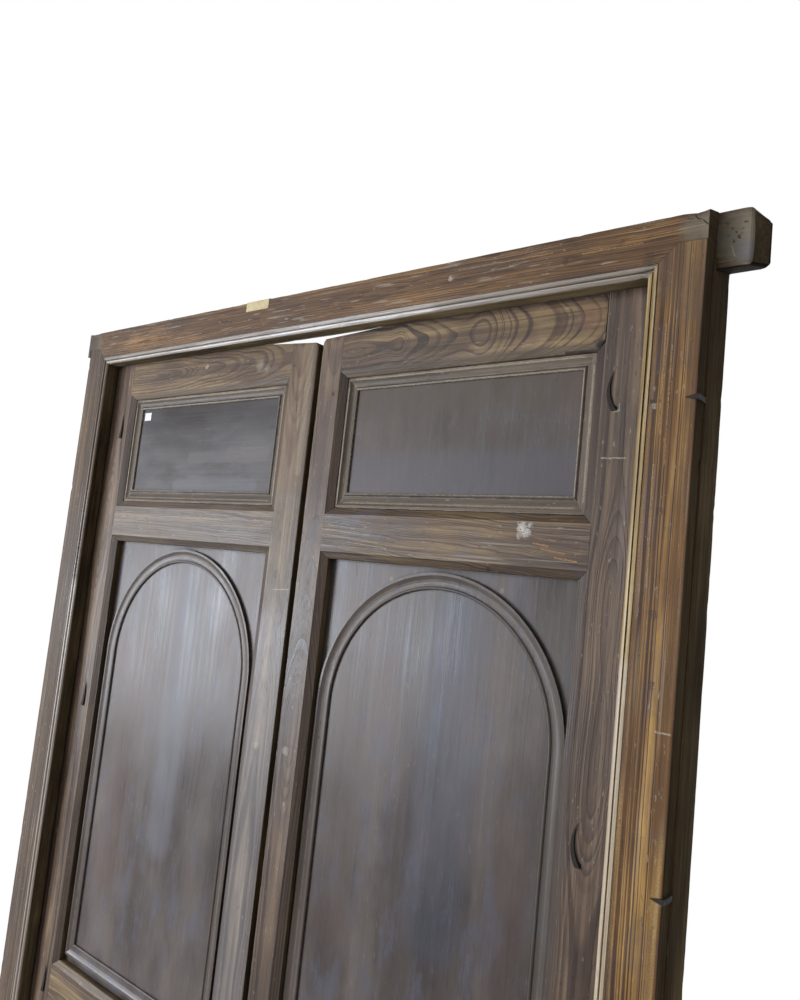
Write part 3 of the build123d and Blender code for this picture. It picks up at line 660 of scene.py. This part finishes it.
def slice_along(bm, axis, stations):
    """Cuts the mesh across one axis at each station, lowest first."""
    rest = list(bm.faces)
    normal = Vector((0, 0, 0))
    normal[axis] = 1.0
    for station in stations:
        # Dicts, unlike sets, keep the same order in each run
        verts = dict.fromkeys(v for f in rest for v in f.verts)
        edges = dict.fromkeys(e for f in rest for e in f.edges)
        cut = bmesh.ops.bisect_plane(bm, geom=[*verts, *edges, *rest], dist=CUT_DIST,
                                     plane_co=normal * station, plane_no=normal)
        rest = [f for f in cut["geom"] if isinstance(f, bmesh.types.BMFace) and f.is_valid
                and max(v.co[axis] for v in f.verts) > station + PAST_CUT]


def steps(low, high, pitch):
    """Even places between low and high, about a pitch apart and without the two ends."""
    count = max(1, round((high - low) / pitch))
    return [low + (high - low) * i / count for i in range(1, count)]


def across(axis):
    """The axis across the face of a board that runs along x or z."""
    return 2 - axis


def is_sharp(e):
    return e.is_convex and e.calc_face_angle(0) > SHARP


def is_arris(e, axis, joints):
    """True for a long sharp edge along the board, with room beside it and away from the joints."""
    if not is_sharp(e) or e.calc_length() <= SHORTEST_ARRIS:
        return False
    a, b = (v.co for v in e.verts)
    drift = max(abs(a[i] - b[i]) for i in range(3) if i != axis)
    at_joint = any(abs(a[across(axis)] - place) < NEAR_JOINT for place in joints)
    least = ROOM_BESIDE_ARRIS * ARRIS_WIDTH * e.calc_length()
    return drift < STRAIGHT and not at_joint and all(f.calc_area() > least for f in e.link_faces)


def bevel(bm, edges, width, segments):
    return bmesh.ops.bevel(bm, geom=edges, offset=width, offset_type="OFFSET", segments=segments,
                           profile=0.5, affect="EDGES", clamp_overlap=False)


def round_ends(bm, ends):
    """Rounds the edges beyond a place along x. Each end has its side, the place and the width."""
    for side, place, width in ends:
        beyond = [e for e in bm.edges if min(side * v.co.x for v in e.verts) > place and is_sharp(e)]
        bevel(bm, beyond, width, segments=4)
        bm.normal_update()


def round_arrises(bm, axis, rim, joints):
    """Rounds the arrises and notes on the vertices how much of a rim each is."""
    made = bevel(bm, [e for e in bm.edges if is_arris(e, axis, joints)], ARRIS_WIDTH, segments=2)
    new = set(made["faces"])
    for v in made["verts"]:
        if v.is_valid:
            v[rim] = RIM if all(f in new for f in v.link_faces) else RIM_EDGE


def wear_down(bm, rim, box, wear, dents, seed):
    """Sinks the skin: a little everywhere, more on the rims and most in the dents. It stays in the box."""
    low, high = box
    shift = Vector((seed * 7.3, seed * 3.1, seed * 5.7))
    for v in bm.verts:
        p = v.co
        drop = BOW * (0.5 + 0.5 * noise.noise(p * BOW_SCALE + shift))
        if v[rim] > 0.01:
            broad = 0.5 + 0.5 * noise.noise(p * BROAD_SCALE + shift)
            fine = max(0.0, noise.noise(p * FINE_SCALE + shift) - 0.18)
            drop += v[rim] * wear * (0.25 + 1.1 * broad * broad + 2.6 * fine)
        for place, radius, depth in dents:
            gap = (p - Vector(place)).length / radius
            if gap < 1.0:
                ragged = 0.6 + 0.8 * noise.noise(p * DENT_SCALE + shift)
                drop += depth * ragged * (1.0 - gap * gap)
        v.co += v.normal * -drop
        for i in range(3):
            v.co[i] = min(max(v.co[i], low[i]), high[i])


def sort_faces(bm, axis, rim, box, bead_edge):
    """Gives each face its material, and marks faces for the shaders: back faces, downward faces beyond the
    jambs for painted shade underneath, and slanting front faces for painted light and shade on chamfers.
    """
    low, high = box
    other = across(axis)
    slant_shade, behind, below = (bm.faces.layers.float.new(name) for name in ("chamfer_shade", "behind", "below"))
    for f in bm.faces:
        n = f.normal
        centre = f.calc_center_median()
        outer = min(centre[other] - low[other], high[other] - centre[other]) < OUTER_SKIN
        at_back = n.y > TO_THE_BACK
        underneath = abs(centre.x) > PAST_JAMB and n.z < DOWNWARD
        unvarnished = at_back or underneath or abs(n[axis]) > STEEP or (abs(n[other]) > STEEP and outer)
        reach = abs(centre.x) if axis else centre.z
        on_bead = reach < bead_edge and centre.y < BEAD_BACK
        f.material_index = FINISHED
        if unvarnished:
            f.material_index = ROUGH
        elif on_bead:
            f.material_index = BEAD
        f.smooth = True
        f[behind] = float(at_back)
        f[below] = float(underneath)
        rounded = sum(v[rim] for v in f.verts) / len(f.verts) > 0.3
        if SLANT_LOW < abs(n[other]) < SLANT_HIGH and n.y < SLANT_TO_FRONT and not rounded:
            f[slant_shade] = 1.0 if n.z < 0.15 else 0.6


def new_piece(bm, name, node, body, materials):
    """Makes an object of the mesh, which rides on a body in place of a CAD node."""
    mesh = bpy.data.meshes.new(name)
    bm.to_mesh(mesh)
    bm.free()
    for material in materials:
        mesh.materials.append(material)
    piece = bpy.data.objects.new(name, mesh)
    bpy.context.scene.collection.objects.link(piece)
    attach(piece, body)
    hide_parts(node)
    return piece


def welded(node):
    """The mesh of a CAD node, with the vertices of neighbouring faces joined."""
    bm = bmesh.new()
    bm.from_mesh(NODES[node].data)
    bmesh.ops.remove_doubles(bm, verts=bm.verts, dist=WELD)
    return bm


def aged(node, body, slot, along, materials, seed, bead_edge=-math.inf, cross=0.0, wear=ARRIS_WEAR,
         dents=(), joints=(), ends=()):
    """A CAD node cut finely along the board, with rounded and worn arrises, in place of the node."""
    axis = "xyz".index(along)
    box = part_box(node)
    bm = welded(node)
    bmesh.ops.dissolve_limit(bm, angle_limit=FLAT, verts=bm.verts, edges=bm.edges)
    rim = bm.verts.layers.float.new("rim")
    bm.normal_update()
    round_ends(bm, ends)
    round_arrises(bm, axis, rim, joints)
    for direction, pitch in ((axis, SLICE_PITCH), (across(axis), cross)):
        if pitch:
            slice_along(bm, direction, steps(box[0][direction], box[1][direction], pitch))
    bm.normal_update()
    wear_down(bm, rim, box, wear, dents, seed)
    sort_faces(bm, axis, rim, box, bead_edge)
    for e in bm.edges:
        limit = SMOOTH_ON_RIM if all(v[rim] > 0.25 for v in e.verts) else SMOOTH
        e.smooth = e.calc_face_angle(0) < limit
    piece = new_piece(bm, f"worn_{node}", node, body, materials)
    even = piece.modifiers.new("even", "WEIGHTED_NORMAL")
    even.keep_sharp = True


def forge(node, body, material, along, root, tip, front, thinning):
    """An iron whose clenched point gets thinner from root to tip, on vertices in front of a depth."""
    axis = "xyz".index(along)
    bm = welded(node)
    bm.normal_update()
    for v in bm.verts:
        share = (v.co[axis] - root) / (tip - root)
        if v.co.y < front and share > 0:
            v.co -= v.normal * thinning * min(share, 1.0) ** 0.8
    for f in bm.faces:
        f.smooth = True
    for e in bm.edges:
        e.smooth = e.calc_face_angle(0) < SHARP
    new_piece(bm, f"forged_{node}", node, body, [material])


def dress(node, material, rounding=0.0):
    """A CAD node gets its material and slightly rounded arrises; its mesh stays."""
    obj = NODES[node]
    obj.data.materials.clear()
    obj.data.materials.append(material)
    weld = obj.modifiers.new("weld", "WELD")
    weld.merge_threshold = WELD
    flat = obj.modifiers.new("flat", "DECIMATE")
    flat.decimate_type = "DISSOLVE"
    flat.angle_limit = FLAT
    if rounding:
        round_off = obj.modifiers.new("round", "BEVEL")
        round_off.width = rounding
        round_off.segments = 2
        round_off.limit_method = "ANGLE"
        round_off.angle_limit = DRESSED_SHARP
    for polygon in obj.data.polygons:
        polygon.use_smooth = False


def board(node, body, slot, along, seed, tones, centre, look, bead=None, **shape):
    """An aged board in a pine of its own, varnished in front and bare at the back and the outer sides."""
    marks = MARKS.get(node, ())
    finished = wood(f"{node}_pine", along, tones, centre, seed=seed, aged_rim=True, marks=marks, **look)
    materials = [finished, bare(f"{node}_bare", along, seed)]
    if bead:
        materials.append(bead)
    aged(node, body, slot, along, materials, seed, **shape)


def middle(node):
    low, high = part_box(node)
    return (low + high) / 2


def dress_lintel():
    # The bead's pale, lavender-tinted tones are partly worn wood and partly a painted highlight along it.
    bead = wood("lintel_bead_pine", "x", LINTEL_BEAD_TONES, centre=(2.10, FRAME_FRONT), seed=1.5,
                rings={"spacing": 0.004, "depth": 0.03}, contrast=0.6, tint=0.3, tint_tone=(150, 146, 156),
                pale=0.6, wear=0.9, hollow_dirt_and_shade=0.1, aged_rim=True, marks=LINTEL_BEAD_MARKS, gloss=0.30,
                specular=0.5)
    rings = {"spacing": 0.0036, "depth": 0.03, "sway": 0.010, "sway_scale": 2.2, "wobble": 0.0035,
             "tilt": 0.006}
    look = {"rings": rings, "tint": 0.2, "pale": 0.5, "pores": 0.8, "dash": 14.0, "wear": 0.7}
    board("lintel", "frame", "frame_pine", "x", 1.0, LINTEL_TONES, (2.13, FRAME_FRONT), look, bead,
          bead_edge=LINTEL_BEAD_TOP, cross=CROSS_PITCH, wear=0.0018, dents=LINTEL_DENTS,
          joints=(LINTEL_SHOULDER,), ends=LINTEL_ENDS)


def dress_jamb(name, tones, gloss, bead_tones, bead_pale):
    side = 1 if name == "right" else -1
    seed = 2.0 + side
    centre = (side * JAMB_PITH_X, FRAME_FRONT)
    # A pale line down the lower bead of each jamb is partly worn wood and partly a painted highlight.
    light_line = ("stroke", (side * 0.680, 1.62, side * 0.680, 0.2, 0.025), (186, 174, 162), 0.45)
    bead = wood(f"{name}_jamb_bead_pine", "z", bead_tones, centre, seed=seed + 0.5,
                rings={"spacing": 0.004, "depth": 0.03}, contrast=0.7, tint=0.15, pale=bead_pale, wear=0.9,
                hollow_dirt_and_shade=0.1, aged_rim=True, marks=(light_line,), gloss=0.38, specular=0.4)
    rings = {"spacing": 0.0058, "depth": 0.03, "wobble": 0.0012, "late_start": 0.38}
    look = {"rings": rings, "contrast": 1.7, "pale": 0.3, "wear": 0.7, "gloss": gloss}
    board(f"{name}_jamb", "frame", "frame_pine", "z", seed, tones, centre, look, bead,
          bead_edge=JAMB_BEAD_EDGE, cross=CROSS_PITCH, dents=JAMB_DENTS)


def dress_frame():
    dress_lintel()
    dress_jamb("left", LEFT_JAMB_TONES, 0.62, LEFT_JAMB_TONES, 0.3)
    dress_jamb("right", RIGHT_JAMB_TONES, 0.45, RIGHT_BEAD_TONES, 0.6)
    board("threshold", "frame", "frame_pine", "x", 5.0, STILE_TONES, (0.02, FRAME_FRONT), {}, wear=0.0016)
    dress("frame_pegs", wood("frame_peg_pine", "z", LINTEL_TONES, (0.0, 0.0), seed=6.0))


def dress_stiles_and_rails(name, seed):
    body = f"{name}_leaf"
    for i, piece in enumerate(("hinge_stile", "meeting_stile")):
        node = f"{name}_{piece}"
        rings = {"spacing": 0.0048, "depth": 0.03, "sway": 0.012, "sway_scale": 1.6,
                 "peaks": STILE_PEAKS[node]}
        look = {"rings": rings, "contrast": 0.8, "wear": 0.9, "chamfer_shade": 0.6, "gloss": 0.40}
        board(node, body, "leaf_pine", "z", seed + i, OWN_TONES.get(node, STILE_TONES),
              (middle(node).x, LEAF_FRONT), look, joints=STILE_JOINTS[name])
    for i, piece in enumerate(("top_rail", "frieze_rail", "lock_rail", "bottom_rail"), 2):
        node = f"{name}_{piece}"
        # Painted light on the top rails' chamfers, painted shade on the others.
        chamfer_shade_tone = (98, 88, 76) if piece == "top_rail" else (38, 29, 24)
        own = RAIL_LOOKS.get(node, PLAIN_RAIL_LOOK)
        look = {"wear": 0.9, "chamfer_shade": 0.5, "chamfer_shade_tone": chamfer_shade_tone, **own}
        board(node, body, "leaf_pine", "x", seed + i, OWN_TONES.get(node, RAIL_TONES),
              (middle(node).z, LEAF_FRONT), look, dents=RAIL_DENTS.get(node, ()))


def dress_flat_panels(name, seed):
    """The left leaf's flat panels have their grain lying and the right leaf's have it standing."""
    for i, piece in enumerate(("upper_panel", "lower_panel"), 6):
        node = f"{name}_{piece}"
        m = middle(node)
        along, pith = ("x", m.z) if name == "left" else ("z", m.x)
        tones = OWN_TONES.get(node, PANEL_TONES)
        # The blue-grey tint in blotches paints a reflection haze on the panel.
        pine = wood(f"{node}_pine", along, tones, (pith, PANEL_PITH_Y), seed=seed + i,
                    rings={"depth": 0.06}, contrast=0.08, ring_bump=0.05, fibre=0.08, streak=0.15, cloudy=2.0,
                    stain=0.9, tint_tone=(80, 80, 90), pale=0.05, pores=0.08, flecks=0.12,
                    marks=MARKS.get(node, ()), gloss=0.40)
        dress(node, pine)


def dress_arch_panel(name, seed):
    node = f"{name}_arch_panel"
    centre_x, radius = ARCHES[name]
    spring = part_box(f"{name}_upper_moulding_bottom")[0].z - CROWN_BELOW_MOULDING - radius
    bands = tuple(("arch", (centre_x, spring, radius + inner, radius + outer), tone, share)
                  for inner, outer, tone, share in ARCH_BANDS)
    # The blue-grey tint in blotches paints a reflection haze on the panel.
    pine = wood(f"{node}_pine", "z", ARCH_TONES, (middle(node).x, ARCH_PITH_Y), seed=seed + 8,
                rings={"depth": 0.08}, contrast=0.1, ring_bump=0.05, fibre=0.08, streak=0.2, cloudy=1.8,
                tint=0.6, tint_tone=(84, 84, 96), pale=0.04, pores=0.15, flecks=0.12,
                marks=bands + MARKS[node], gloss=0.36)
    dress(node, pine, rounding=0.0006)


def strip_lines(node, level, panel_is_lower):
    """Lines along a moulding strip, at set distances from its edge beside the panel."""
    low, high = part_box(node)
    edge, away = (low, 1.0) if panel_is_lower else (high, -1.0)
    lines = []
    for off, size, tone, share in STRIP_LINES:
        if level:
            at = edge.z + away * off
            numbers = (low.x + off, at, high.x - off, at, size)
        else:
            at = edge.x + away * off
            numbers = (at, low.z + off, at, high.z - off, size)
        lines.append(("stroke", numbers, tone, share))
    return lines


def dress_mouldings(name, seed):
    for opening in ("upper", "lower"):
        for i, run in enumerate(("top", "bottom", "hinge_side", "meeting_side"), 9):
            node = f"{name}_{opening}_moulding_{run}"
            m = middle(node)
            level = run in ("top", "bottom")
            along, pith = ("x", m.z) if level else ("z", m.x)
            panel_is_lower = run == "top" if level else (run == "hinge_side") == (name == "right")
            pine = wood(f"{node}_pine", along, STRIP_TONES, (pith, 0.0), seed=seed + i,
                        rings={"depth": 0.04}, contrast=0.5, wear=0.9,
                        marks=strip_lines(node, level, panel_is_lower))
            dress(node, pine, rounding=0.0005)


def dress_leaf(name, seed):
    dress_stiles_and_rails(name, seed)
    dress_flat_panels(name, seed)
    dress_arch_panel(name, seed)
    dress_mouldings(name, seed)
    dress(f"{name}_leaf_pegs", wood(f"{name}_leaf_peg_pine", "z", RAIL_TONES, (0.0, 0.0), seed=seed + 19))


def make_iron():
    g = Graph(bpy.data.materials.new("wrought_iron"))
    coords = g.coords("Object")
    rust = g.noise(coords, 260.0, 5.0, 0.65)
    lumps = g.noise(coords, 90.0, 3.0, 0.6)
    black, brown, rusty = (linear(tone) for tone in ((22, 19, 17), (34, 28, 24), (60, 43, 32)))
    colour = g.ramp(rust, [(0.35, black), (0.55, brown), (0.75, rusty)])
    rough = g.line(rust, 0.3, 0.7, 0.55, 0.85)
    height = g.add(g.mul(rust, 0.5), lumps)
    return g.finish(colour, rough, height, strength=0.6, distance=0.001, Metallic=0.25,
                    Specular_IOR_Level=0.3)


def make_tape():
    g = Graph(bpy.data.materials.new("creped_tape"))
    coords = g.coords("Object")
    x, y, z = g.split(coords)
    crepe = g.noise(g.vector(g.mul(x, 700.0), g.mul(y, 160.0), g.mul(z, 160.0)))
    blotch = g.noise(coords, 60.0, 2.0)
    colour = g.mix(g.line(blotch, 0.3, 0.7), linear((186, 168, 130)), linear((206, 190, 152)))
    rough = g.line(crepe, 0.3, 0.7, 0.7, 0.85)
    return g.finish(colour, rough, crepe, strength=0.4, distance=0.0005, Specular_IOR_Level=0.3)


def make_paper():
    g = Graph(bpy.data.materials.new("label_paper"))
    fibres = g.noise(g.coords("Object"), 420.0, 4.0)
    colour = g.mix(g.line(fibres, 0.3, 0.7), linear((214, 216, 218)), linear((236, 237, 238)))
    rough = g.line(fibres, 0.3, 0.7, 0.6, 0.75)
    return g.finish(colour, rough, fibres, strength=0.3, distance=0.0002, Specular_IOR_Level=0.3)


def dress_irons():
    """Irons whose point shows in front get it thinned. The blind ones of the left jamb stay as they are."""
    iron = make_iron()
    for node in [n for n in NODES if "eye" in n]:
        low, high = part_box(node)
        if "leaf" in node:
            leaf = node[:node.index("_eye")]
            forge(node, leaf, iron, "z", root=low.z + 0.005, tip=high.z, front=0.0, thinning=0.0022)
        elif low.y < FRAME_FRONT:
            forge(node, "frame", iron, "x", root=high.x - 0.003, tip=0.734, front=-0.040, thinning=0.0017)
        else:
            dress(node, iron)


def seen_directly(g):
    """1 for rays that show the scene to the camera, also by a reflection or through glass, else 0."""
    path = g.tree.nodes.new("ShaderNodeLightPath").outputs
    seen = g.math("MAXIMUM", path["Is Camera Ray"], path["Is Glossy Ray"])
    return g.math("MAXIMUM", seen, path["Is Transmission Ray"])


def make_floor():
    """White to the camera, with a soft shadow of the object painted on it from ambient occlusion, and a plain
    pale surface to other light.
    """
    bpy.ops.mesh.primitive_plane_add(size=60, location=(0, 0, 0))
    floor = bpy.context.object
    floor.name = "floor"
    g = Graph(bpy.data.materials.new("pale_floor"))
    # Painted shadow: the white darkens where ambient occlusion finds the object near.
    level = g.node("ShaderNodeAmbientOcclusion", {"Distance": 0.7}, output="AO")
    colour = g.ramp(level, [(0.35, (0.42, 0.42, 0.42, 1)), (0.95, (1, 1, 1, 1))])
    glow = g.node("ShaderNodeEmission", {"Color": colour, "Strength": 1.0})
    plain = g.node("ShaderNodeBsdfDiffuse", {"Color": (0.75, 0.75, 0.75, 1)})
    blend = g.node("ShaderNodeMixShader", {0: seen_directly(g), 1: plain, 2: glow})
    g.end("ShaderNodeOutputMaterial", blend)
    floor.data.materials.append(g.owner)


def make_world():
    """White to the camera, and a soft light that is stronger from the front left."""
    world = bpy.data.worlds.new("studio")
    bpy.context.scene.world = world
    g = Graph(world)
    brightest = Vector((-0.62, -0.70, 0.35)).normalized()
    facing = g.vectors("DOT_PRODUCT", g.coords("Generated"), brightest, "Value")
    level = g.line(facing, -0.6, 0.8, 0.13, 0.34)
    soft = g.node("ShaderNodeBackground", {"Color": (0.95, 0.97, 1.0, 1), "Strength": level})
    white = g.node("ShaderNodeBackground", {"Color": (1, 1, 1, 1)})
    blend = g.node("ShaderNodeMixShader", {0: seen_directly(g), 1: soft, 2: white})
    g.end("ShaderNodeOutputWorld", blend)


def make_lamp(name, place, target, size, power, colour):
    data = bpy.data.lights.new(name, "AREA")
    data.shape = "RECTANGLE"
    data.size, data.size_y = size
    data.energy = power
    data.color = colour
    lamp = bpy.data.objects.new(name, data)
    bpy.context.scene.collection.objects.link(lamp)
    lamp.location = place
    lamp.rotation_euler = (Vector(target) - Vector(place)).to_track_quat("-Z", "Y").to_euler()


def make_lamps():
    make_lamp("window", place=(-3.6, -3.5, 1.30), target=(-0.1, 0, 1.35), size=(2.4, 1.2), power=230.0,
              colour=(0.84, 0.91, 1.0))
    make_lamp("front", place=(-2.4, -4.2, 3.2), target=(0.1, 0, 1.5), size=(2.6, 1.8), power=66.0,
              colour=(1.0, 0.96, 0.90))
    make_lamp("back", place=(-2.2, 4.4, 2.6), target=(0.1, 0, 1.2), size=(2.6, 2.0), power=130.0,
              colour=(1.0, 0.98, 0.95))


def make_camera():
    """The photo's camera, worked out from its straight edges, its level lines and the two arches."""
    data = bpy.data.cameras.new("camera")
    data.sensor_width = 36.0
    data.lens = 29.604
    data.clip_start, data.clip_end = 0.05, 200.0
    camera = bpy.data.objects.new("camera", data)
    bpy.context.scene.collection.objects.link(camera)
    right = Vector((0.7741294, 0.6244427, 0.1038988))
    up = Vector((-0.0167162, -0.1439078, 0.9894499))
    back = Vector((0.6328066, -0.7676991, -0.1009650))
    turn = Matrix((right, up, back)).transposed().to_4x4()
    camera.matrix_world = Matrix.Translation((1.1230, -1.0694, 1.7116)) @ turn
    bpy.context.scene.camera = camera


dress_frame()
dress_leaf("left", 10.0)
dress_leaf("right", 20.0)
dress_irons()
dress("masking_tape", make_tape())
dress("paper_label", make_paper())

make_floor()
make_world()
make_lamps()
make_camera()

bpy.context.scene.view_settings.view_transform = "Standard"
